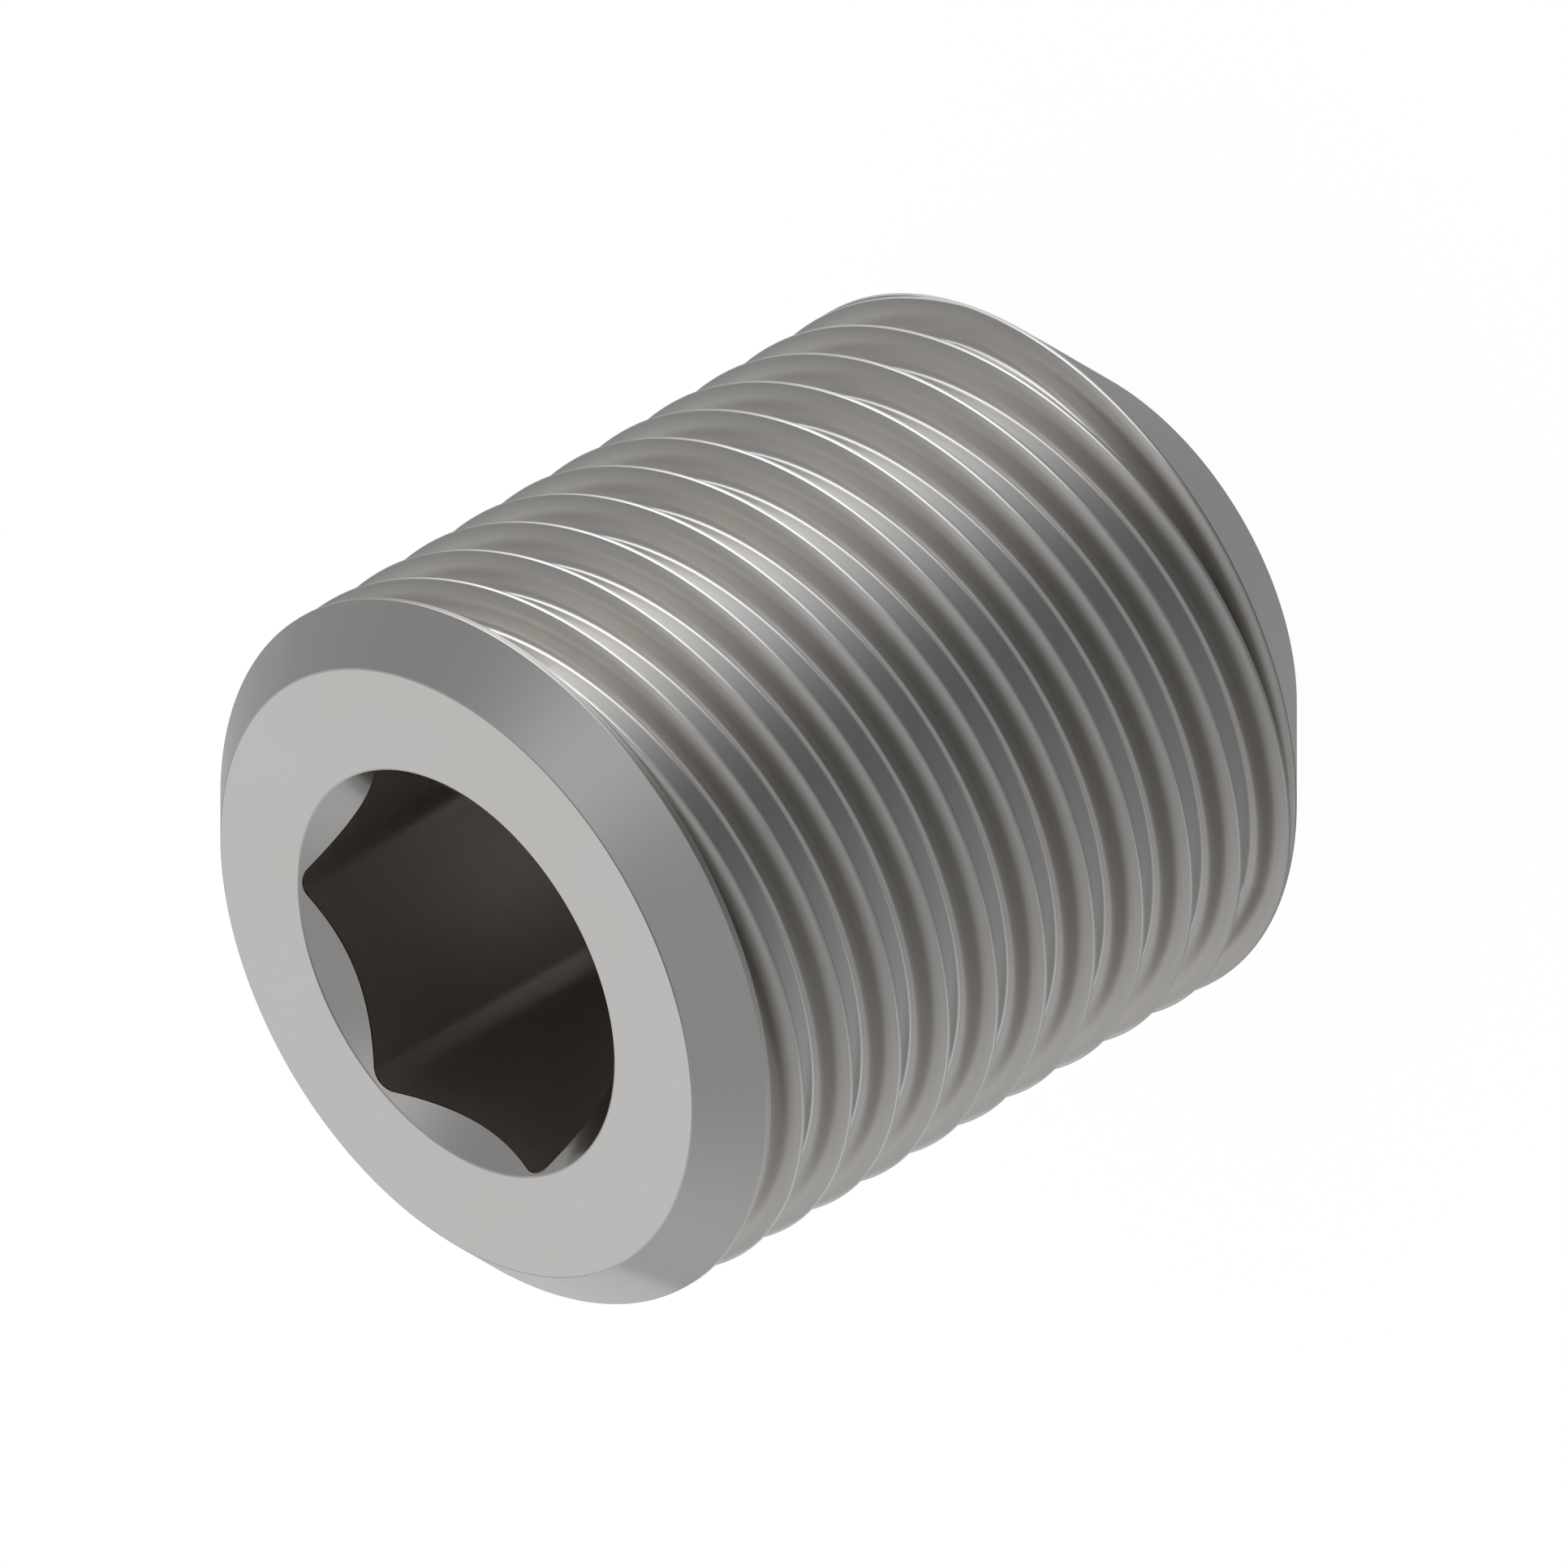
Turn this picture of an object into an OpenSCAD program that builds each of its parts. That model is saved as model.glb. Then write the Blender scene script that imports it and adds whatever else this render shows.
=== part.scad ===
// Threaded orifice plug: a headless screw plug, turned and broached from one piece of steel bar.
// It has a hexagon socket in one end and a small orifice drilled through to the other end.
// The plug stands on its orifice end. Z runs up the axis to the socket, and the origin is the centre of
// the orifice end's face. Two corners of the socket lie on the X axis. All sizes are in millimetres.

/* [Body] */
// Outside diameter over the thread's crests
major_d = 15.875; // [14:0.005:22]
// Length from one end face to the other
body_l = 19.05; // [16:0.05:40]
// Width of the 45 degree chamfer at the socket end
top_chamfer = 1.085; // [0.5:0.005:1.5]
// Width of the 45 degree lead-in chamfer at the orifice end
lead_chamfer = 2.56; // [1:0.01:3.5]

/* [Thread] */
// Distance from one crest to the next along the axis
pitch = 1.411; // [1.15:0.001:1.6]
// Number of starts
starts = 3; // [1:1:4]
// Depth of the grooves below the crests
thread_depth = 0.69; // [0.4:0.01:0.75]
// Width of the narrow crests
crest_w = 0.075; // [0.06:0.005:0.15]
// Angle that each flank leans from square to the axis
flank_angle = 30; // [25:0.5:32]
// Width of the plain rim between the thread and the chamfer at the orifice end
lead_rim_w = 0.04; // [0.02:0.01:0.5]
// Width of the plain rim between the thread and the chamfer at the socket end
top_rim_w = 0.1; // [0.02:0.01:0.5]
// Height above the origin at which a crest crosses the X axis
crest_z = -0.018; // [-1:0.001:1]

/* [Socket] */
// Width of the hexagon across its flats
hex_af = 8.05; // [5:0.01:9]
// Radius in the corners of the hexagon
hex_corner_r = 0.75; // [0.1:0.05:1]
// Depth of the hexagon below the socket face
hex_depth = 9.5; // [4:0.1:11]
// Diameter of the countersink at the socket face
countersink_d = 9.18; // [9.1:0.01:12]
// Included angle of the countersink
countersink_angle = 90; // [60:1:120]
// Diameter of the drill that went in before the broach
pilot_d = 7.9; // [3:0.1:8]
// Included angle of that drill's point
point_angle = 118; // [90:1:140]

/* [Orifice] */
// Diameter of the orifice
orifice_d = 1.6; // [0.4:0.1:2.8]

/* [Hidden] */
major_r = major_d/2;
lead = starts*pitch;
// How far a cutting shape runs past the surface that it cuts
past = 1;
// The grooves stand this far out of the bar, which keeps two neighbours apart there
groove_past = 0.05;
// Steps in one turn of a groove, and in the arc of each corner of the socket
turn_steps = 48;
corner_steps = 6;
round_fn = 180;
// The thread lies between these two heights
thread_low = lead_chamfer + lead_rim_w;
thread_high = body_l - top_chamfer - top_rim_w;

// How far a flank has come along the axis where it is down at a radius
function flank_run(r) = (major_r - r)*tan(flank_angle);

// Half the width of a groove at a radius
function groove_half(r) = (pitch - crest_w)/2 - flank_run(r);

// One point of a groove's section at an angle, where side is -1 for its lower and 1 for its upper flank
function groove_point(angle, middle, r, side) =
    [r*cos(angle), r*sin(angle), middle + lead*angle/360 + side*groove_half(r)];

// The section of a groove at an angle: root and outside of the lower flank, outside and root of the upper
function groove_section(angle, middle) = let(root_r = major_r - thread_depth, out_r = major_r + groove_past)
    [groove_point(angle, middle, root_r, -1), groove_point(angle, middle, out_r, -1),
     groove_point(angle, middle, out_r, 1), groove_point(angle, middle, root_r, 1)];

// The outline of a hexagon with round corners, two of which point along X
function round_hexagon(flats, corner_r) = let(centre = (flats/2 - corner_r)/cos(30))
    [for (corner = [0:5], step = [0:corner_steps])
        let(out = 60*corner, angle = out - 30 + 60*step/corner_steps)
        [centre*cos(out) + corner_r*cos(angle), centre*sin(out) + corner_r*sin(angle)]];

// One groove of the thread, as a solid swept up a right-hand helix from one angle to another
module groove(middle, first_angle, last_angle) {
    steps = ceil((last_angle - first_angle)/360*turn_steps);
    angles = [for (step = [0:steps]) first_angle + (last_angle - first_angle)*step/steps];
    corners = [for (angle = angles) each groove_section(angle, middle)];
    sides = [for (step = [0:steps - 1], side = [0:3])
        let(a = 4*step + side, b = 4*step + (side + 1)%4) each [[a, b, b + 4], [a, b + 4, a + 4]]];
    ends = [[3, 2, 1, 0], [for (side = [0:3]) 4*steps + side]];
    polyhedron(points = corners, faces = concat(sides, ends), convexity = 10);
}

// The space that the grooves may take, which ends at both rims in slopes like the thread's own flanks
module thread_zone() {
    inner_r = major_r - thread_depth - groove_past;
    outer_r = major_r + past;
    rotate_extrude($fn = round_fn)
        polygon([[inner_r, thread_low + flank_run(inner_r)], [outer_r, thread_low + flank_run(outer_r)],
                 [outer_r, thread_high - flank_run(outer_r)], [inner_r, thread_high - flank_run(inner_r)]]);
}

// All grooves of the thread
module thread_grooves() {
    intersection() {
        for (start = [0:starts - 1]) {
            middle = crest_z + (start + 0.5)*pitch;
            groove(middle, (thread_low - middle - pitch)/lead*360, (thread_high - middle + pitch)/lead*360);
        }
        thread_zone();
    }
}

// The turned bar with its two chamfers, before the thread is cut
module blank() {
    rotate_extrude($fn = round_fn)
        polygon([[0, 0], [major_r - lead_chamfer, 0], [major_r, lead_chamfer],
                 [major_r, body_l - top_chamfer], [major_r - top_chamfer, body_l], [0, body_l]]);
}

// The hexagon socket, with its countersunk mouth and the drill point at its bottom
module socket() {
    floor_z = body_l - hex_depth;
    point_h = pilot_d/2/tan(point_angle/2);
    sink_r = countersink_d/2 + past*tan(countersink_angle/2);
    sink_h = sink_r/tan(countersink_angle/2);
    translate([0, 0, floor_z])
        linear_extrude(hex_depth + past)
            polygon(round_hexagon(hex_af, hex_corner_r));
    translate([0, 0, floor_z])
        mirror([0, 0, 1])
            cylinder(h = point_h, r1 = pilot_d/2, r2 = 0, $fn = round_fn);
    translate([0, 0, body_l + past])
        mirror([0, 0, 1])
            cylinder(h = sink_h, r1 = sink_r, r2 = 0, $fn = round_fn);
}

// The orifice, drilled from the end face into the socket
module orifice() {
    translate([0, 0, -past])
        cylinder(h = body_l - hex_depth + past, d = orifice_d, $fn = round_fn);
}

module plug_body() {
    color([0.62, 0.61, 0.6])
        difference() {
            blank();
            thread_grooves();
            socket();
            orifice();
        }
}

plug_body();
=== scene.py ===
"""Looks of the threaded orifice plug: its steel body with a smooth thread, a plain studio and the camera.

The plug is modelled in millimetres, where the operators' own tolerances are small, and brought to metres
at the end. Its axis is Z, and it stands on its orifice end.
"""

import math

import bpy
from bpy.props import FloatProperty, IntProperty, PointerProperty, StringProperty
from mathutils import Matrix, Vector


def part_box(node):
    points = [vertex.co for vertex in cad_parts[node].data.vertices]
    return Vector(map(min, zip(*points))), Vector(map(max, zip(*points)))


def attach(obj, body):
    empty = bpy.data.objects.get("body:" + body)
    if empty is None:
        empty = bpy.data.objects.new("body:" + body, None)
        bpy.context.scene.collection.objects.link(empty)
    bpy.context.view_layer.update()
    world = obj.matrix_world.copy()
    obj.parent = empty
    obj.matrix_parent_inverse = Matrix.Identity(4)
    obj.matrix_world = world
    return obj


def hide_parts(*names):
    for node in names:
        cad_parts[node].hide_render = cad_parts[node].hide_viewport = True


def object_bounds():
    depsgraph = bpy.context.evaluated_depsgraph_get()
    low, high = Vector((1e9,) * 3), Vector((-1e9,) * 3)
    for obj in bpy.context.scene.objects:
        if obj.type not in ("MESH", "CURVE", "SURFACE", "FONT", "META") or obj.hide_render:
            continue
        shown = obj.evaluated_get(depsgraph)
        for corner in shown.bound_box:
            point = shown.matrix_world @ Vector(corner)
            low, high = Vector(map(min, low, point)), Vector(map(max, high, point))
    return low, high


bl_info = {
    "name": "Threaded orifice plug",
    "version": (1, 0, 0),
    "blender": (4, 5, 0),
    "location": "View3D > Sidebar > Orifice plug",
    "description": "Models a headless screw plug with a hexagon socket, a helical thread and an orifice",
    "category": "Mesh",
}

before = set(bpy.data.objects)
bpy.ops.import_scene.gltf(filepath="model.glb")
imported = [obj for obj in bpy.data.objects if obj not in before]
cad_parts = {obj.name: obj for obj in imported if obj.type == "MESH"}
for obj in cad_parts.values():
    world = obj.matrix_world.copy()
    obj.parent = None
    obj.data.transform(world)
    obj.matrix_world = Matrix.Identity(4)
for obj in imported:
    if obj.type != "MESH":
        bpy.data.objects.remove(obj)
cad_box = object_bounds()
node_low, node_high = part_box("plug_body")
MM = 0.001
PLUG_NODE = "plug_body"


class PlugSizes(bpy.types.PropertyGroup):
    """Sizes of the plug"""

    major_radius: FloatProperty(
        name="Thread radius", description="Radius over the thread's crests",
        default=node_high[0], unit="LENGTH", subtype="DISTANCE")
    length: FloatProperty(
        name="Length", description="Length from one end face to the other",
        default=node_high[2] - node_low[2], unit="LENGTH", subtype="DISTANCE")
    top_chamfer: FloatProperty(
        name="Top chamfer", description="Width of the 45 degree chamfer at the socket end",
        default=1.085 * MM, unit="LENGTH", subtype="DISTANCE")
    lead_chamfer: FloatProperty(
        name="Lead-in chamfer", description="Width of the 45 degree chamfer at the orifice end",
        default=2.56 * MM, unit="LENGTH", subtype="DISTANCE")
    edge_break: FloatProperty(
        name="Edge break", description="Width of the tiny bevel that the lathe tool leaves on each edge",
        default=0.02 * MM, unit="LENGTH", subtype="DISTANCE")
    rim_break: FloatProperty(
        name="Rim break", description="Width of the bevel on the two rims, whose edges are only just broken",
        default=0.005 * MM, unit="LENGTH", subtype="DISTANCE")
    pitch: FloatProperty(
        name="Pitch", description="Distance from crest to crest along the axis",
        default=1.411 * MM, unit="LENGTH", subtype="DISTANCE")
    starts: IntProperty(name="Starts", description="Number of thread starts", default=3, min=1)
    thread_depth: FloatProperty(
        name="Thread depth", description="Depth of the grooves below the crests",
        default=0.69 * MM, unit="LENGTH", subtype="DISTANCE")
    crest_width: FloatProperty(
        name="Crest width", description="Width of the flat top of a crest",
        default=0.02 * MM, unit="LENGTH", subtype="DISTANCE")
    crest_bevel: FloatProperty(
        name="Crest bevel", description="Width of the slight slope at each side of a crest",
        default=0.035 * MM, unit="LENGTH", subtype="DISTANCE")
    flank_width: FloatProperty(
        name="Flank width", description="Width of one flank and its ends, measured along the axis",
        default=0.49 * MM, unit="LENGTH", subtype="DISTANCE")
    crest_round: FloatProperty(
        name="Crest round", description="Radius between a crest's bevel and its flank",
        default=0.03 * MM, unit="LENGTH", subtype="DISTANCE")
    root_fillet: FloatProperty(
        name="Root fillet", description="Radius between a root and its flanks",
        default=0.16 * MM, unit="LENGTH", subtype="DISTANCE")
    lead_rim: FloatProperty(
        name="Lead-in rim", description="Width of the plain rim between the thread and the lead-in chamfer",
        default=0.04 * MM, unit="LENGTH", subtype="DISTANCE")
    top_rim: FloatProperty(
        name="Top rim", description="Width of the plain rim between the thread and the top chamfer",
        default=0.1 * MM, unit="LENGTH", subtype="DISTANCE")
    crest_height: FloatProperty(
        name="Crest height", description="Height at which a crest crosses the X axis",
        default=-0.018 * MM, unit="LENGTH", subtype="DISTANCE")
    hexagon_flats: FloatProperty(
        name="Across flats", description="Width of the hexagon socket across its flats",
        default=8.05 * MM, unit="LENGTH", subtype="DISTANCE")
    hexagon_corner: FloatProperty(
        name="Corner radius", description="Radius in the corners of the hexagon socket",
        default=0.75 * MM, unit="LENGTH", subtype="DISTANCE")
    hexagon_depth: FloatProperty(
        name="Socket depth", description="Depth of the hexagon below the socket face",
        default=9.5 * MM, unit="LENGTH", subtype="DISTANCE")
    sink_radius: FloatProperty(
        name="Countersink radius", description="Radius of the countersink at the socket face",
        default=4.59 * MM, unit="LENGTH", subtype="DISTANCE")
    pilot_radius: FloatProperty(
        name="Pilot radius", description="Radius of the drill that went in before the broach",
        default=3.95 * MM, unit="LENGTH", subtype="DISTANCE")
    point_angle: FloatProperty(
        name="Drill point", description="Included angle of the drill's point",
        default=math.radians(118), subtype="ANGLE")
    orifice_radius: FloatProperty(
        name="Orifice radius", description="Radius of the orifice",
        default=0.8 * MM, unit="LENGTH", subtype="DISTANCE")


class PlugFinish(bpy.types.PropertyGroup):
    """Colours of the plug and the studio"""

    steel: StringProperty(name="Steel", description="Colour of the turned steel, sRGB hex", default="#c8c8c8")
    oiled: StringProperty(
        name="Oiled steel", description="Colour of the steel under traces of oil, sRGB hex", default="#c8c5c1")
    broached: StringProperty(
        name="Broached steel", description="Colour of the socket's rougher walls, sRGB hex", default="#c1bab3")
    floor: StringProperty(name="Floor", description="Colour of the floor, sRGB hex", default="#ffffff")


# Steps in one turn of every round shape
TURN_STEPS = 160
# How far the broach runs past the face that it cuts, and the grooves past the crests, in mm
PAST = 1.0
GROOVE_PAST = 0.003
# Points nearer than this, in mm, are the same point of an outline or ring
SAME_POINT = 0.0001
# Points nearer than this, in mm, lie on the plane that a groove is trimmed at
ON_PLANE = 0.00001
# Points nearer than this, in mm, are merged after the cuts, which leave splinters where edges nearly meet
MERGE_REACH = 0.0006
# How far a node stands to the right of those that feed it and below the one made before it
NODE_GAP = 200
NODE_ROW = 50


def linear(hex_colour):
    """An sRGB hex colour as the linear RGBA that sockets take."""
    values = [int(hex_colour[i:i + 2], 16) / 255 for i in (1, 3, 5)]
    return [v / 12.92 if v <= 0.04045 else ((v + 0.055) / 1.055) ** 2.4 for v in values] + [1.0]


def add_node(tree, kind, settings=None, inputs=None):
    """One node with its settings and its inputs, each a value or the socket that feeds it."""
    node = tree.nodes.new(kind)
    for name, value in (settings or {}).items():
        setattr(node, name, value)
    for name, value in (inputs or {}).items():
        socket = node.inputs[name]
        if isinstance(value, bpy.types.NodeSocket):
            tree.links.new(value, socket)
            node.location.x = max(node.location.x, value.node.location.x + NODE_GAP)
        else:
            socket.default_value = value
    node.location.y = -NODE_ROW * len(tree.nodes)
    return node


def towards(azimuth, elevation=0):
    """The unit vector towards an azimuth and an elevation, both in degrees."""
    azimuth, elevation = math.radians(azimuth), math.radians(elevation)
    return (math.cos(elevation) * math.cos(azimuth), math.cos(elevation) * math.sin(azimuth),
            math.sin(elevation))


def deselect_all():
    """Leaves nothing selected, so the next operator acts on its own object."""
    if bpy.context.mode != "OBJECT":
        bpy.ops.object.mode_set(mode="OBJECT")
    bpy.ops.object.select_all(action="DESELECT")


def pick(piece):
    """Selects one object alone and makes it the active one."""
    deselect_all()
    piece.select_set(True)
    bpy.context.view_layer.objects.active = piece


def draw_loop(name, points):
    """A closed wire through points of (radius, height), extruded from one vertex to the next."""
    deselect_all()
    first = Vector((points[0][0], 0.0, points[0][1]))
    bpy.ops.mesh.primitive_plane_add(size=1.0, location=first)
    wire = bpy.context.object
    wire.name = name
    bpy.ops.object.mode_set(mode="EDIT")
    bpy.ops.mesh.select_all(action="SELECT")
    bpy.ops.mesh.merge(type="CENTER")
    for here, there in zip(points, points[1:] + points[:1]):
        step = (there[0] - here[0], 0.0, there[1] - here[1])
        bpy.ops.mesh.extrude_vertices_move(TRANSFORM_OT_translate={"value": step})
    bpy.ops.mesh.select_all(action="SELECT")
    bpy.ops.mesh.remove_doubles(threshold=SAME_POINT)
    bpy.ops.object.mode_set(mode="OBJECT")
    bpy.ops.object.transform_apply(location=True, rotation=True, scale=True)
    return wire


def apply_modifier(piece, kind, **settings):
    """Adds a modifier and applies it."""
    pick(piece)
    modifier = piece.modifiers.new(kind, kind)
    for name, value in settings.items():
        setattr(modifier, name, value)
    bpy.ops.object.modifier_apply(modifier=modifier.name)


def cut(piece, tool):
    """Cuts one closed mesh from another and deletes the tool."""
    apply_modifier(piece, "BOOLEAN", operation="DIFFERENCE", solver="EXACT", object=tool)
    bpy.data.meshes.remove(tool.data)


def blank_outline(sizes):
    """Half of the turned and drilled bar's section, in millimetres, with a small bevel at each edge."""
    radius, length = sizes.major_radius / MM, sizes.length / MM
    top, lead = sizes.top_chamfer / MM, sizes.lead_chamfer / MM
    pilot, orifice = sizes.pilot_radius / MM, sizes.orifice_radius / MM
    sink = sizes.sink_radius / MM
    floor = length - sizes.hexagon_depth / MM
    point = (pilot - orifice) / math.tan(sizes.point_angle / 2)
    corners = [
        (orifice, 0.0), (radius - lead, 0.0), (radius, lead), (radius, length - top), (radius - top, length),
        (sink, length), (pilot, length - (sink - pilot)), (pilot, floor), (orifice, floor - point),
    ]
    points = []
    for i, corner in enumerate(corners):
        here = Vector(corner)
        edge = (sizes.rim_break if corner[0] == radius else sizes.edge_break) / MM
        to_last = (Vector(corners[i - 1]) - here).normalized()
        to_next = (Vector(corners[(i + 1) % len(corners)]) - here).normalized()
        points += [tuple(here + to_last * edge), tuple(here + to_next * edge)]
    return points


def spin_loop(name, points):
    """The solid ring that a closed outline makes when it turns once about the axis."""
    ring = draw_loop(name, points)
    pick(ring)
    bpy.ops.object.mode_set(mode="EDIT")
    bpy.ops.mesh.select_all(action="SELECT")
    bpy.ops.mesh.spin(steps=TURN_STEPS, angle=2 * math.pi, center=(0, 0, 0), axis=(0, 0, 1))
    bpy.ops.mesh.select_all(action="SELECT")
    bpy.ops.mesh.remove_doubles(threshold=SAME_POINT)
    bpy.ops.mesh.normals_make_consistent(inside=False)
    bpy.ops.object.mode_set(mode="OBJECT")
    return ring


# Lean of the surface's normal on a crest's bevel and where a flank's middle part starts and ends, and the
# steps that draw each arc and flank
BEVEL_LEAN = math.radians(18.3)
EDGE_LEAN = math.radians(45)
ARC_STEPS = 3
FLANK_STEPS = 8
# Share of the way down at which a flank is steepest, and how fast it turns above and below that
STEEPEST = 0.62
UPPER_POWER = 1.5
LOWER_POWER = 2.0


def flank_profile(sizes):
    """Points (down, along) from a crest's edge at (0, 0) to the root, in millimetres.

    The crest has a bevel that turns into the flank and the root has a fillet, each up to EDGE_LEAN. Between
    them the flank gets steeper down to STEEPEST and leans back below it: its run along the axis for each
    step down is 1 at both ends and least at STEEPEST, and grows from there with a power of the distance.
    """
    depth, width = sizes.thread_depth / MM, sizes.flank_width / MM
    bevel, crest_r, root_r = sizes.crest_bevel / MM, sizes.crest_round / MM, sizes.root_fillet / MM
    turns = [BEVEL_LEAN + (EDGE_LEAN - BEVEL_LEAN) * i / ARC_STEPS for i in range(ARC_STEPS + 1)]
    crest = [(bevel * math.tan(BEVEL_LEAN) + crest_r * (math.cos(BEVEL_LEAN) - math.cos(a)),
              bevel + crest_r * (math.sin(a) - math.sin(BEVEL_LEAN))) for a in turns]
    leans = [EDGE_LEAN * (i + 1) / ARC_STEPS for i in range(ARC_STEPS)]
    root = [(depth - root_r * (1 - math.cos(a)), width - root_r * math.sin(a)) for a in reversed(leans)]
    drop, run = root[0][0] - crest[-1][0], root[0][1] - crest[-1][1]
    upper = STEEPEST / (UPPER_POWER + 1)
    lower = (1 - STEEPEST) / (LOWER_POWER + 1)
    least = (run / drop - upper - lower) / (1 - upper - lower)
    flank = []
    for i in range(1, FLANK_STEPS):
        t = i / FLANK_STEPS
        if t < STEEPEST:
            bend = upper * (1 - (1 - t / STEEPEST) ** (UPPER_POWER + 1))
        else:
            bend = upper + lower * ((t - STEEPEST) / (1 - STEEPEST)) ** (LOWER_POWER + 1)
        flank.append((crest[-1][0] + drop * t, crest[-1][1] + drop * (least * t + (1 - least) * bend)))
    return crest + flank + root


def groove_outline(sizes, height):
    """The closed section of one groove about a height, in millimetres."""
    radius = sizes.major_radius / MM
    mouth = (sizes.pitch - sizes.crest_width) / MM / 2
    past = GROOVE_PAST / math.tan(BEVEL_LEAN)
    upper = [(radius + GROOVE_PAST, height + mouth + past)]
    upper += [(radius - down, height + mouth - along) for down, along in flank_profile(sizes)]
    upper.append((radius - sizes.thread_depth / MM, height + mouth - sizes.flank_width / MM))
    lower = [(r, 2 * height - z) for r, z in reversed(upper)]
    return upper + lower


def thread_ends(sizes):
    """Heights of the thread's lower and upper end, in millimetres."""
    low = (sizes.lead_chamfer + sizes.lead_rim) / MM
    high = (sizes.length - sizes.top_chamfer - sizes.top_rim) / MM
    return low, high


def sweep_groove(sizes):
    """The lowest start's groove, swept up a right-hand helix past both ends of the thread."""
    pitch = sizes.pitch / MM
    lead = pitch * sizes.starts
    low, high = thread_ends(sizes)
    middle = sizes.crest_height / MM + pitch / 2
    first = middle - pitch * math.ceil((middle - low + lead) / pitch)
    turns = math.ceil((high + pitch - first) / lead)
    groove = draw_loop("groove", groove_outline(sizes, first))
    apply_modifier(groove, "SCREW", angle=2 * math.pi, screw_offset=lead, iterations=turns,
                   steps=TURN_STEPS, render_steps=TURN_STEPS, axis="Z")
    return groove


def copy_groove(sizes, groove):
    """The next start's groove, one pitch higher."""
    pick(groove)
    bpy.ops.object.duplicate()
    bpy.ops.transform.translate(value=(0, 0, sizes.pitch / MM))
    bpy.ops.object.transform_apply(location=True, rotation=True, scale=True)
    return bpy.context.object


def trim_groove(sizes, groove):
    """Cuts a groove off at both ends of the thread and closes it there."""
    low, high = thread_ends(sizes)
    pick(groove)
    bpy.ops.object.mode_set(mode="EDIT")
    for height, normal in ((low, (0, 0, -1)), (high, (0, 0, 1))):
        bpy.ops.mesh.select_all(action="SELECT")
        bpy.ops.mesh.bisect(plane_co=(0, 0, height), plane_no=normal, use_fill=True, clear_outer=True,
                            threshold=ON_PLANE)
    bpy.ops.mesh.select_all(action="SELECT")
    bpy.ops.mesh.normals_make_consistent(inside=False)
    bpy.ops.object.mode_set(mode="OBJECT")


def thread_zone(sizes):
    """The ring that the grooves may take, which ends at both rims in slopes shaped like the flanks."""
    radius, depth = sizes.major_radius / MM, sizes.thread_depth / MM
    low, high = thread_ends(sizes)
    slope = flank_profile(sizes)
    outside, inside = 4 * GROOVE_PAST, 2 * GROOVE_PAST
    slope.insert(0, (-outside, -outside / math.tan(BEVEL_LEAN)))
    last_down, last_along = slope[-1]
    deepest = depth + inside
    slope.append((deepest, last_along + (deepest - last_down) / math.tan(EDGE_LEAN / ARC_STEPS)))
    points = [(radius - down, low + along) for down, along in slope]
    points += [(radius - down, high - along) for down, along in reversed(slope)]
    return spin_loop("thread_zone", points)


def thread_cutter(sizes):
    """All grooves of the thread as one solid."""
    grooves = [sweep_groove(sizes)]
    while len(grooves) < sizes.starts:
        grooves.append(copy_groove(sizes, grooves[-1]))
    for groove in grooves:
        trim_groove(sizes, groove)
    cutter = grooves[0]
    pick(cutter)
    for groove in grooves:
        groove.select_set(True)
    bpy.ops.object.join()
    zone = thread_zone(sizes)
    apply_modifier(cutter, "BOOLEAN", operation="INTERSECT", solver="EXACT", object=zone)
    bpy.data.meshes.remove(zone.data)
    return cutter


# Steps in each rounded corner of the socket
CORNER_STEPS = 8


def broach_tool(sizes):
    """The hexagonal prism that the socket is cut with."""
    length, depth = sizes.length / MM, sizes.hexagon_depth / MM
    flats, corner = sizes.hexagon_flats / MM, sizes.hexagon_corner / MM
    deselect_all()
    bpy.ops.mesh.primitive_cylinder_add(
        vertices=6, radius=flats / math.sqrt(3), depth=depth + PAST,
        location=(0, 0, length - depth + (depth + PAST) / 2), rotation=(0, 0, math.radians(30)))
    tool = bpy.context.object
    bpy.ops.object.transform_apply(location=True, rotation=True, scale=True)
    for item in [*tool.data.vertices, *tool.data.edges, *tool.data.polygons]:
        item.select = False
    for edge in tool.data.edges:
        low, high = sorted((tool.data.vertices[i] for i in edge.vertices), key=lambda point: point.co.z)
        if high.co.z - low.co.z > depth / 2:
            edge.select = low.select = high.select = True
    bpy.ops.object.mode_set(mode="EDIT")
    bpy.ops.mesh.select_mode(type="EDGE")
    bpy.ops.mesh.bevel(offset=corner * math.tan(math.radians(30)), segments=CORNER_STEPS, affect="EDGES")
    bpy.ops.object.mode_set(mode="OBJECT")
    return tool


# Edges that turn more than this stay sharp, as the crests' bevels do
SMOOTH_ANGLE = math.radians(17)


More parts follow.
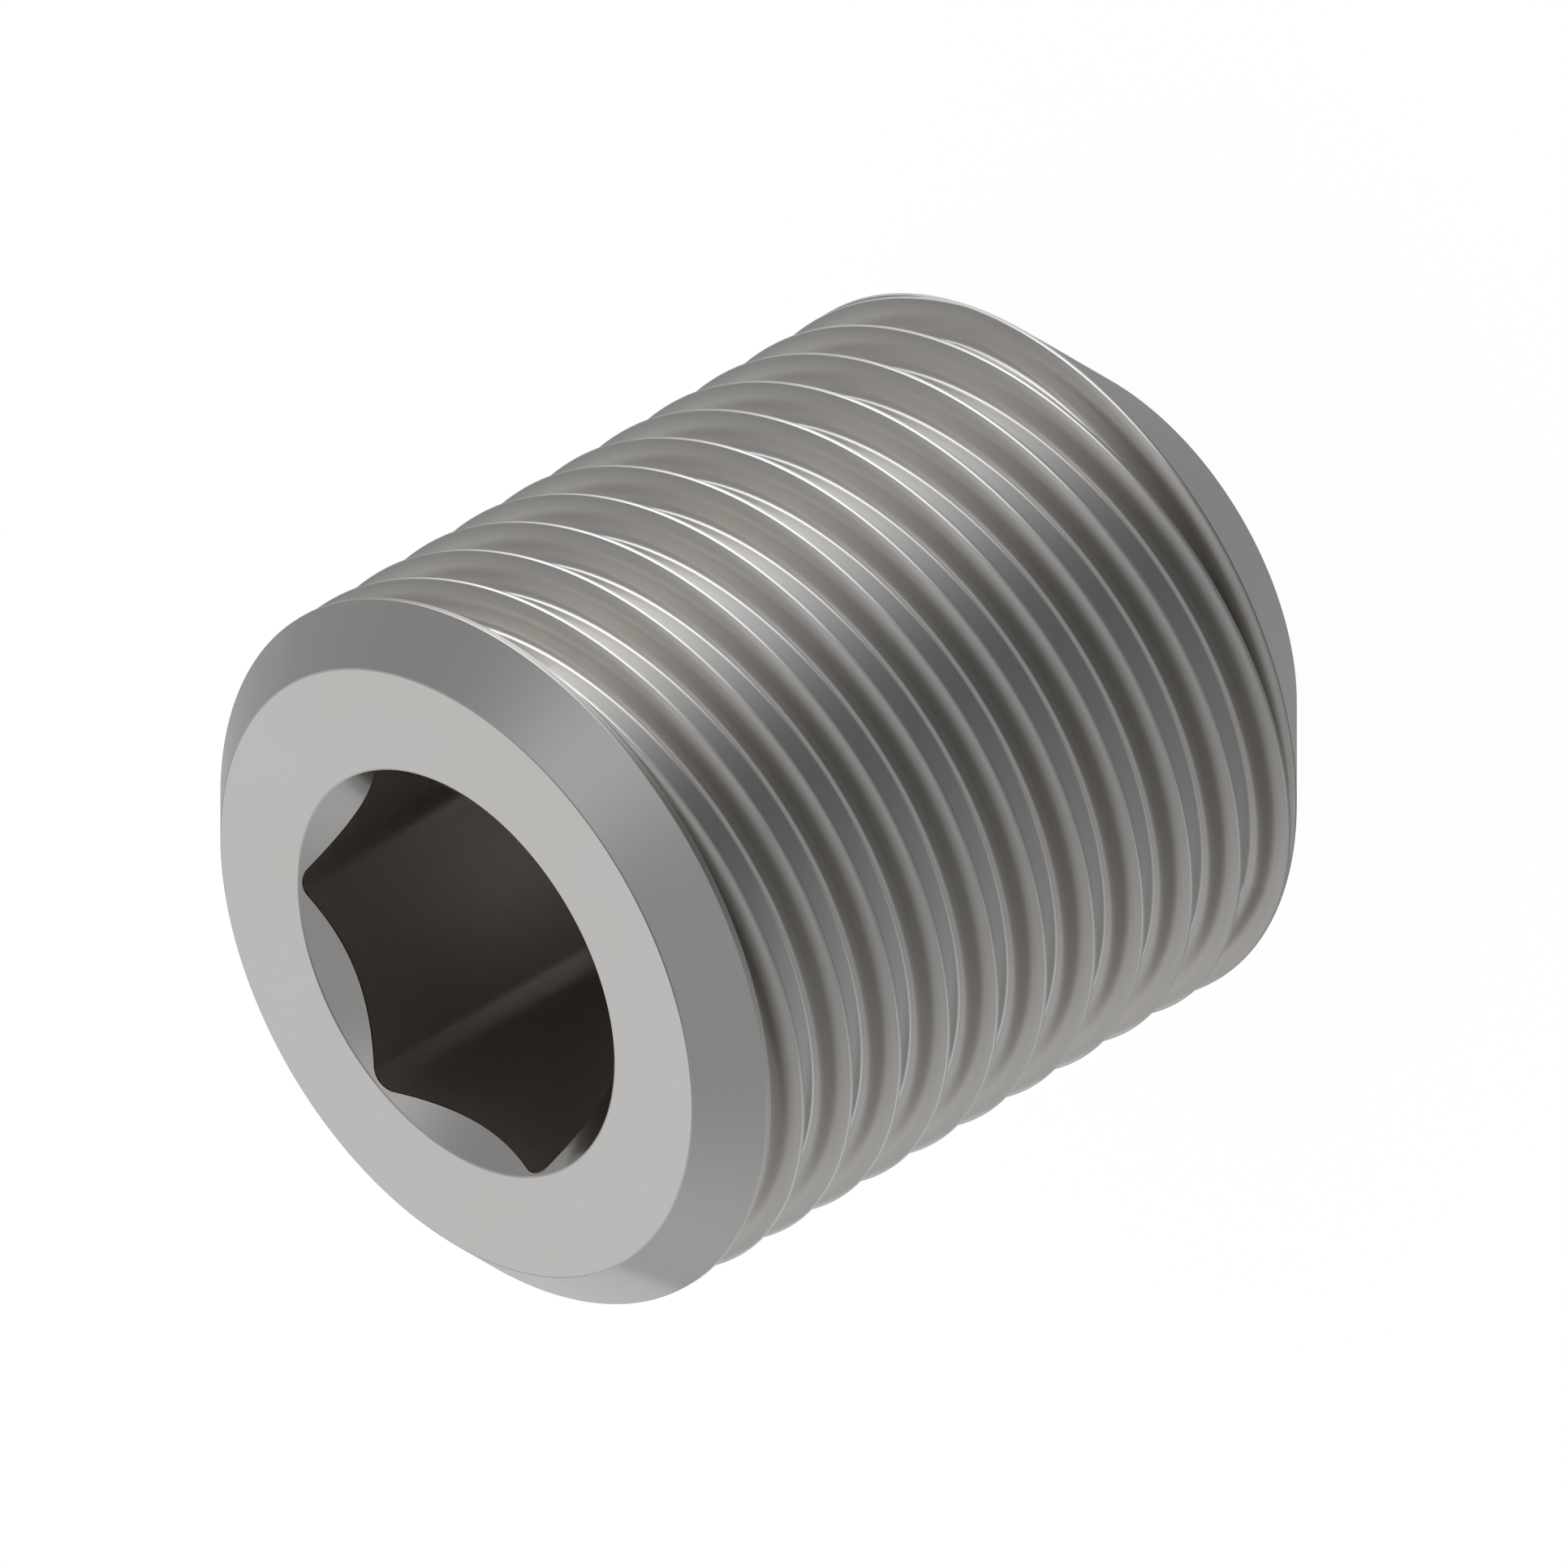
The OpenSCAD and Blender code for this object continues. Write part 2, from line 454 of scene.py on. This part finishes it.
class OBJECT_OT_orifice_plug(bpy.types.Operator):
    """Turns, drills, threads and broaches the plug"""

    bl_idname = "object.orifice_plug"
    bl_label = "Orifice plug"
    bl_options = {"REGISTER", "UNDO"}

    def execute(self, context):
        sizes = context.scene.plug_sizes
        plug = spin_loop("plug", blank_outline(sizes))
        cut(plug, thread_cutter(sizes))
        cut(plug, broach_tool(sizes))
        pick(plug)
        bpy.ops.object.mode_set(mode="EDIT")
        bpy.ops.mesh.select_all(action="SELECT")
        bpy.ops.mesh.remove_doubles(threshold=MERGE_REACH)
        bpy.ops.mesh.dissolve_degenerate(threshold=MERGE_REACH)
        bpy.ops.transform.resize(value=(MM, MM, MM), center_override=(0, 0, 0))
        bpy.ops.object.mode_set(mode="OBJECT")
        bpy.ops.object.shade_smooth_by_angle(angle=SMOOTH_ANGLE)
        apply_modifier(plug, "WEIGHTED_NORMAL", keep_sharp=True)
        plug.data.materials.clear()
        plug.data.materials.append(turned_steel(sizes, context.scene.plug_finish))
        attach(plug, "root")
        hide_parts(PLUG_NODE)
        return {"FINISHED"}


# Turning marks are about 0.01 mm apart on such a plug. They are drawn four times as coarse, to show at all.
MARK_WIDTH = 0.04 * MM
MARK_HEIGHT = 0.0001 * MM
# Broach marks run down the socket's walls, and these are drawn twice as coarse as they are, to show at all
BROACH_WIDTH = 0.08 * MM
# How much finer detail the marks have, and how strong it is
MARK_DETAIL = 3.0
MARK_DETAIL_SHARE = 0.6
# Size of the faint patches that handling and oil leave
PATCH_SIZE = 4.0 * MM
# Roughness of the smoothest steel, and what the marks, the patches, the thread's cut flanks and the
# broached walls add to it
STEEL_ROUGHNESS = 0.10
MARK_ROUGHNESS = 0.06
PATCH_ROUGHNESS = 0.04
FLANK_ROUGHNESS = 0.22
BROACHED_ROUGHNESS = 0.25
# How far from a crest or a root a flank starts to be rougher, and where it is fully so
FLANK_EDGE = (0.03 * MM, 0.15 * MM)
# How much more oil the flanks hold than the smoother steel
FLANK_OIL = 0.5


def turned_steel(sizes, finish):
    """Bare carbon steel, fine turned and oiled: a grey, nearly neutral metal with clear, soft reflections.

    Its marks circle the axis on the faces and chamfers, follow the helix in the thread and run straight
    down the broached socket. The thread's flanks are rougher and a little warmer, and the socket's walls
    rougher and a little browner.
    """
    material = bpy.data.materials.new("turned_steel")
    material.use_nodes = True
    tree = material.node_tree
    tree.nodes.clear()
    place = add_node(tree, "ShaderNodeTexCoord").outputs["Object"]
    axes = add_node(tree, "ShaderNodeSeparateXYZ", inputs={"Vector": place})
    x, y, z = (axes.outputs[name] for name in "XYZ")
    flat = add_node(tree, "ShaderNodeCombineXYZ", inputs={"X": x, "Y": y}).outputs[0]
    radius = add_node(tree, "ShaderNodeVectorMath", {"operation": "LENGTH"}, {0: flat}).outputs["Value"]

    low, high = (height * MM for height in thread_ends(sizes))
    crest_radius, root_radius = sizes.major_radius, sizes.major_radius - sizes.thread_depth
    between_ends = add_node(tree, "ShaderNodeMath", {"operation": "COMPARE"}, {
        0: z, 1: (low + high) / 2, 2: (high - low) / 2}).outputs[0]
    in_grooves = add_node(tree, "ShaderNodeMath", {"operation": "GREATER_THAN"}, {
        0: radius, 1: root_radius - GROOVE_PAST * MM}).outputs[0]
    in_thread = add_node(tree, "ShaderNodeMath", {"operation": "MULTIPLY"}, {
        0: between_ends, 1: in_grooves}).outputs[0]
    turn = add_node(tree, "ShaderNodeMath", {"operation": "ARCTAN2"}, {0: y, 1: x}).outputs[0]
    climb = add_node(tree, "ShaderNodeMath", {"operation": "MULTIPLY"}, {
        0: turn, 1: sizes.pitch * sizes.starts / (2 * math.pi)}).outputs[0]
    beside = add_node(tree, "ShaderNodeMath", {"operation": "SUBTRACT"}, {
        0: z, 1: climb}).outputs[0]
    in_pitch = add_node(tree, "ShaderNodeMath", {"operation": "FLOORED_MODULO"}, {
        0: beside, 1: sizes.pitch}).outputs[0]
    along = add_node(tree, "ShaderNodeMix", {"data_type": "FLOAT"}, {
        0: in_thread, 2: z, 3: in_pitch}).outputs[0]
    section = add_node(tree, "ShaderNodeCombineXYZ", inputs={"X": radius, "Y": along}).outputs[0]

    in_bore = add_node(tree, "ShaderNodeMath", {"operation": "LESS_THAN"}, {
        0: radius, 1: sizes.sink_radius}).outputs[0]
    above_floor = add_node(tree, "ShaderNodeMath", {"operation": "GREATER_THAN"}, {
        0: z, 1: sizes.length - sizes.hexagon_depth}).outputs[0]
    out_and_down = add_node(tree, "ShaderNodeMath", {"operation": "SUBTRACT"}, {
        0: radius, 1: z}).outputs[0]
    sink_edge = sizes.sink_radius - sizes.length + 2 * sizes.edge_break
    below_sink = add_node(tree, "ShaderNodeMath", {"operation": "GREATER_THAN"}, {
        0: out_and_down, 1: sink_edge}).outputs[0]
    on_walls = add_node(tree, "ShaderNodeMath", {"operation": "MULTIPLY"}, {
        0: above_floor, 1: below_sink}).outputs[0]
    in_socket = add_node(tree, "ShaderNodeMath", {"operation": "MULTIPLY"}, {
        0: in_bore, 1: on_walls}).outputs[0]

    off_roots = add_node(tree, "ShaderNodeMapRange", {"interpolation_type": "SMOOTHSTEP"}, {
        "Value": radius, "From Min": root_radius + FLANK_EDGE[0],
        "From Max": root_radius + FLANK_EDGE[1]}).outputs[0]
    off_crests = add_node(tree, "ShaderNodeMapRange", {"interpolation_type": "SMOOTHSTEP"}, {
        "Value": radius, "From Min": crest_radius - FLANK_EDGE[0],
        "From Max": crest_radius - FLANK_EDGE[1]}).outputs[0]
    off_both = add_node(tree, "ShaderNodeMath", {"operation": "MULTIPLY"}, {
        0: off_roots, 1: off_crests}).outputs[0]
    on_flank = add_node(tree, "ShaderNodeMath", {"operation": "MULTIPLY"}, {
        0: off_both, 1: between_ends}).outputs[0]

    turned = add_node(tree, "ShaderNodeTexNoise", {"noise_dimensions": "2D"}, {
        "Vector": section, "Scale": 1 / MARK_WIDTH, "Detail": MARK_DETAIL,
        "Roughness": MARK_DETAIL_SHARE}).outputs["Fac"]
    broached = add_node(tree, "ShaderNodeTexNoise", {"noise_dimensions": "2D"}, {
        "Vector": flat, "Scale": 1 / BROACH_WIDTH, "Detail": MARK_DETAIL,
        "Roughness": MARK_DETAIL_SHARE}).outputs["Fac"]
    marks = add_node(tree, "ShaderNodeMix", {"data_type": "FLOAT"}, {
        0: in_socket, 2: turned, 3: broached}).outputs[0]
    patches = add_node(tree, "ShaderNodeTexNoise", {"noise_dimensions": "3D"}, {
        "Vector": place, "Scale": 1 / PATCH_SIZE}).outputs["Fac"]
    oil = add_node(tree, "ShaderNodeMath", {"operation": "MULTIPLY_ADD", "use_clamp": True}, {
        0: on_flank, 1: FLANK_OIL, 2: patches}).outputs[0]
    turned_tint = add_node(tree, "ShaderNodeMix", {"data_type": "RGBA"}, {
        0: oil, 6: linear(finish.steel), 7: linear(finish.oiled)}).outputs[2]
    tint = add_node(tree, "ShaderNodeMix", {"data_type": "RGBA"}, {
        0: in_socket, 6: turned_tint, 7: linear(finish.broached)}).outputs[2]
    rough_marks = add_node(tree, "ShaderNodeMath", {"operation": "MULTIPLY_ADD"}, {
        0: marks, 1: MARK_ROUGHNESS, 2: STEEL_ROUGHNESS}).outputs[0]
    rough_turned = add_node(tree, "ShaderNodeMath", {"operation": "MULTIPLY_ADD"}, {
        0: patches, 1: PATCH_ROUGHNESS, 2: rough_marks}).outputs[0]
    rough_thread = add_node(tree, "ShaderNodeMath", {"operation": "MULTIPLY_ADD"}, {
        0: on_flank, 1: FLANK_ROUGHNESS, 2: rough_turned}).outputs[0]
    rough = add_node(tree, "ShaderNodeMath", {"operation": "MULTIPLY_ADD"}, {
        0: in_socket, 1: BROACHED_ROUGHNESS, 2: rough_thread}).outputs[0]
    normal = add_node(tree, "ShaderNodeBump", inputs={
        "Height": marks, "Distance": MARK_HEIGHT, "Strength": 1.0}).outputs["Normal"]
    steel = add_node(tree, "ShaderNodeBsdfPrincipled", inputs={
        "Base Color": tint, "Metallic": 1.0, "Roughness": rough, "Normal": normal}).outputs["BSDF"]
    add_node(tree, "ShaderNodeOutputMaterial", inputs={"Surface": steel})
    return material


class SCENE_OT_plug_studio(bpy.types.Operator):
    """Adds the floor, the light and the camera"""

    bl_idname = "scene.plug_studio"
    bl_label = "Studio"
    bl_options = {"REGISTER", "UNDO"}

    def execute(self, context):
        scene = context.scene
        add_floor(scene.plug_finish)
        add_world(scene)
        add_camera(scene)
        scene.view_settings.view_transform = "Standard"
        return {"FINISHED"}


# Side of the floor in metres, wide enough for every view and reflection
FLOOR_SIDE = 1.0
# How far the floor lies under the plug, so that no two faces share a plane
FLOOR_DROP = 0.02 * MM
# How much of the floor's look is even white paper, which leaves the rest to the light and the plug's shadow
PAPER_SHARE = 0.92
# How bright the paper is, so that both together are white
PAPER_GLOW = 1.05
# Painted shade: the brightness painted on the floor for reflections where it is dimmest, standing in for the
# plug's shadow
PAINTED_FLOOR_SHADE = 0.14
# Painted light standing in for what the back wall would add on its side of the plug, and the wall's azimuth in
# degrees
PAINTED_WALL_LIGHT = 0.36
WALL_AZIMUTH = -110
# Painted light standing in for what the right wall would add on its side, from and up to these distances, and
# its azimuth
PAINTED_RIGHT_LIGHT = 0.30
RIGHT_REACH = (12 * MM, 60 * MM)
RIGHT_AZIMUTH = -60
# Painted light standing in for what the window would add on its side near the plug and far out, the distances
# between which it grows, how narrow its painted patch of light is, and its azimuth
PAINTED_WINDOW_LIGHT = 0.92
PAINTED_WINDOW_EDGE_LIGHT = 2.2
WINDOW_REACH = (30 * MM, 100 * MM)
WINDOW_TIGHTNESS = 4.0
WINDOW_AZIMUTH = 117
# Painted shade: the brightness painted on the floor round the plug's foot, standing in for its shadow, and the
# distances between which it gives way to the rest
PAINTED_FOOT_SHADE = 0.30
FOOT_REACH = (7 * MM, 11 * MM)


def white_paper(finish):
    """Matt white paper, which the camera sees evenly white, with a trace of the plug's shadow.

    The metal mirrors a glow painted by place instead: painted light where the walls and the window would light
    it, and painted shade round the plug's foot. A camera below the floor looks through it.
    """
    material = bpy.data.materials.new("floor_paper")
    material.use_nodes = True
    tree = material.node_tree
    tree.nodes.clear()
    place = add_node(tree, "ShaderNodeTexCoord").outputs["Object"]
    distance = add_node(tree, "ShaderNodeVectorMath", {"operation": "LENGTH"}, {0: place}).outputs["Value"]
    outward = add_node(tree, "ShaderNodeVectorMath", {"operation": "NORMALIZE"}, {
        0: place}).outputs["Vector"]
    to_wall, to_right, to_window = (
        add_node(tree, "ShaderNodeVectorMath", {"operation": "DOT_PRODUCT"}, {
            0: outward, 1: towards(azimuth)}).outputs["Value"]
        for azimuth in (WALL_AZIMUTH, RIGHT_AZIMUTH, WINDOW_AZIMUTH))

    # Painted light: a glow by place on the floor, which stands in for the light of the back wall, the right
    # wall and the window, and only glossy rays see it
    painted_wall_glow = add_node(tree, "ShaderNodeMath", {"operation": "MULTIPLY_ADD"}, {
        0: to_wall, 1: PAINTED_WALL_LIGHT / 2, 2: PAINTED_WALL_LIGHT / 2 + PAINTED_FLOOR_SHADE}).outputs[0]
    right_side = add_node(tree, "ShaderNodeMath", {"operation": "MAXIMUM"}, {
        0: to_right, 1: 0.0}).outputs[0]
    painted_right_glow = add_node(tree, "ShaderNodeMapRange", {"interpolation_type": "SMOOTHSTEP"}, {
        "Value": distance, "From Min": RIGHT_REACH[0], "From Max": RIGHT_REACH[1],
        "To Max": PAINTED_RIGHT_LIGHT}).outputs[0]
    painted_walls = add_node(tree, "ShaderNodeMath", {"operation": "MULTIPLY_ADD"}, {
        0: right_side, 1: painted_right_glow, 2: painted_wall_glow}).outputs[0]
    window_side = add_node(tree, "ShaderNodeMath", {"operation": "MAXIMUM"}, {
        0: to_window, 1: 0.0}).outputs[0]
    painted_window_patch = add_node(tree, "ShaderNodeMath", {"operation": "POWER"}, {
        0: window_side, 1: WINDOW_TIGHTNESS}).outputs[0]
    painted_window_glow = add_node(tree, "ShaderNodeMapRange", {"interpolation_type": "SMOOTHSTEP"}, {
        "Value": distance, "From Min": WINDOW_REACH[0], "From Max": WINDOW_REACH[1],
        "To Min": PAINTED_WINDOW_LIGHT, "To Max": PAINTED_WINDOW_EDGE_LIGHT}).outputs[0]
    painted_light = add_node(tree, "ShaderNodeMath", {"operation": "MULTIPLY_ADD"}, {
        0: painted_window_patch, 1: painted_window_glow, 2: painted_walls}).outputs[0]
    # Painted shade round the plug's foot, which stands in for the plug's shadow in what the metal mirrors
    mirrored = add_node(tree, "ShaderNodeMapRange", {"interpolation_type": "SMOOTHSTEP"}, {
        "Value": distance, "From Min": FOOT_REACH[0], "From Max": FOOT_REACH[1],
        "To Min": PAINTED_FOOT_SHADE, "To Max": painted_light}).outputs[0]

    rays = add_node(tree, "ShaderNodeLightPath").outputs
    # Camera and transmission rays see the paper's even glow, glossy rays the painted light and painted shade
    strength = add_node(tree, "ShaderNodeMix", {"data_type": "FLOAT"}, {
        0: rays["Is Glossy Ray"], 2: PAPER_GLOW, 3: mirrored}).outputs[0]
    colour = linear(finish.floor)
    paper = add_node(tree, "ShaderNodeBsdfDiffuse", inputs={"Color": colour}).outputs["BSDF"]
    glow = add_node(tree, "ShaderNodeEmission", inputs={
        "Color": colour, "Strength": strength}).outputs["Emission"]
    seen = add_node(tree, "ShaderNodeMath", {"operation": "MAXIMUM"}, {
        0: rays["Is Camera Ray"], 1: rays["Is Transmission Ray"]}).outputs[0]
    seen_share = add_node(tree, "ShaderNodeMath", {"operation": "MULTIPLY"}, {
        0: seen, 1: PAPER_SHARE}).outputs[0]
    glow_share = add_node(tree, "ShaderNodeMath", {"operation": "MAXIMUM"}, {
        0: seen_share, 1: rays["Is Glossy Ray"]}).outputs[0]
    upper_side = add_node(tree, "ShaderNodeMixShader", inputs={
        0: glow_share, 1: paper, 2: glow}).outputs["Shader"]
    backfacing = add_node(tree, "ShaderNodeNewGeometry").outputs["Backfacing"]
    from_below = add_node(tree, "ShaderNodeMath", {"operation": "MULTIPLY"}, {
        0: backfacing, 1: rays["Is Camera Ray"]}).outputs[0]
    clear = add_node(tree, "ShaderNodeBsdfTransparent").outputs["BSDF"]
    both_sides = add_node(tree, "ShaderNodeMixShader", inputs={
        0: from_below, 1: upper_side, 2: clear}).outputs["Shader"]
    add_node(tree, "ShaderNodeOutputMaterial", inputs={"Surface": both_sides})
    return material


def add_floor(finish):
    """A floor that the camera sees plain white, wide enough to fill the view and the reflections, in which it
    shows painted light and shade.
    """
    deselect_all()
    bpy.ops.mesh.primitive_plane_add(size=FLOOR_SIDE, location=(0, 0, -FLOOR_DROP))
    floor = bpy.context.object
    floor.name = "floor"
    bpy.ops.object.transform_apply(location=True, rotation=True, scale=True)
    floor.data.materials.append(white_paper(finish))


# Strength of the background as the camera sees it
WHITE = 1.0
# Even light from all round, and the soft lights in it: azimuth and elevation in degrees, how narrow the light
# is, and its brightness. The ceiling's is negative, because it is the dark part of the room.
ROOM_LIGHT = 0.33
SOFT_LIGHTS = {
    "window": (113, -12, 14, 2.6),
    "window sill": (84, -6, 30, 1.2),
    "back wall": (-135, 38, 6, 0.5),
    "left lamp": (88, 50, 12, 0.3),
    "right wall": (-75, 10, 4, 0.18),
    "front wall": (5, 48, 10, 0.09),
    "ceiling": (-50, 79, 16, -0.25),
}


def add_world(scene):
    """Plain soft studio light: an even room with a window, pale walls and a dark ceiling."""
    world = bpy.data.worlds.new("studio")
    scene.world = world
    world.use_nodes = True
    tree = world.node_tree
    tree.nodes.clear()
    direction = add_node(tree, "ShaderNodeTexCoord").outputs["Generated"]
    total = ROOM_LIGHT
    for azimuth, elevation, tightness, brightness in SOFT_LIGHTS.values():
        near = add_node(tree, "ShaderNodeVectorMath", {"operation": "DOT_PRODUCT"}, {
            0: direction, 1: towards(azimuth, elevation)}).outputs["Value"]
        fall = add_node(tree, "ShaderNodeMath", {"operation": "MULTIPLY_ADD"}, {
            0: near, 1: tightness, 2: -tightness}).outputs[0]
        glow = add_node(tree, "ShaderNodeMath", {"operation": "EXPONENT"}, {0: fall}).outputs[0]
        total = add_node(tree, "ShaderNodeMath", {"operation": "MULTIPLY_ADD"}, {
            0: glow, 1: brightness, 2: total}).outputs[0]
    rays = add_node(tree, "ShaderNodeLightPath").outputs
    seen = add_node(tree, "ShaderNodeMath", {"operation": "MAXIMUM"}, {
        0: rays["Is Camera Ray"], 1: rays["Is Transmission Ray"]}).outputs[0]
    strength = add_node(tree, "ShaderNodeMix", {"data_type": "FLOAT"}, {
        0: seen, 2: total, 3: WHITE}).outputs[0]
    light = add_node(tree, "ShaderNodeBackground", inputs={
        "Color": linear("#ffffff"), "Strength": strength}).outputs["Background"]
    add_node(tree, "ShaderNodeOutputWorld", inputs={"Surface": light})


# Side of the square that the camera sees, the camera's distance from the plug's middle, and the nearest and
# farthest that it sees, in metres
VIEW_SIDE = 32.216 * MM
CAMERA_REACH = 0.2
CAMERA_RANGE = (0.01, 2.0)


def add_camera(scene):
    """The photo's view: exactly isometric, with the plug's axis towards the lower left."""
    low, high = cad_box
    centre = (low + high) / 2
    back = Vector((1, 1, 1)).normalized()
    up = Vector((-1, 2, -1)).normalized()
    side = up.cross(back)
    data = bpy.data.cameras.new("camera")
    data.type = "ORTHO"
    data.ortho_scale = VIEW_SIDE
    data.clip_start, data.clip_end = CAMERA_RANGE
    camera = bpy.data.objects.new("camera", data)
    scene.collection.objects.link(camera)
    turn = Matrix((side, up, back)).transposed().to_4x4()
    camera.matrix_world = Matrix.Translation(centre + back * CAMERA_REACH) @ turn
    scene.camera = camera


class VIEW3D_PT_orifice_plug(bpy.types.Panel):
    """Lists the plug's sizes and its operators"""

    bl_label = "Orifice plug"
    bl_space_type = "VIEW_3D"
    bl_region_type = "UI"
    bl_category = "Orifice plug"

    def draw(self, context):
        scene = context.scene
        for group in (scene.plug_sizes, scene.plug_finish):
            for name in group.__annotations__:
                self.layout.prop(group, name)
        self.layout.operator(OBJECT_OT_orifice_plug.bl_idname)
        self.layout.operator(SCENE_OT_plug_studio.bl_idname)


CLASSES = (PlugSizes, PlugFinish, OBJECT_OT_orifice_plug, SCENE_OT_plug_studio, VIEW3D_PT_orifice_plug)


def register():
    for cls in CLASSES:
        bpy.utils.register_class(cls)
    bpy.types.Scene.plug_sizes = PointerProperty(type=PlugSizes)
    bpy.types.Scene.plug_finish = PointerProperty(type=PlugFinish)


def unregister():
    del bpy.types.Scene.plug_finish
    del bpy.types.Scene.plug_sizes
    for cls in reversed(CLASSES):
        bpy.utils.unregister_class(cls)


def main():
    """Builds the whole scene."""
    register()
    bpy.ops.object.orifice_plug()
    bpy.ops.scene.plug_studio()


if __name__ == "__main__":
    main()
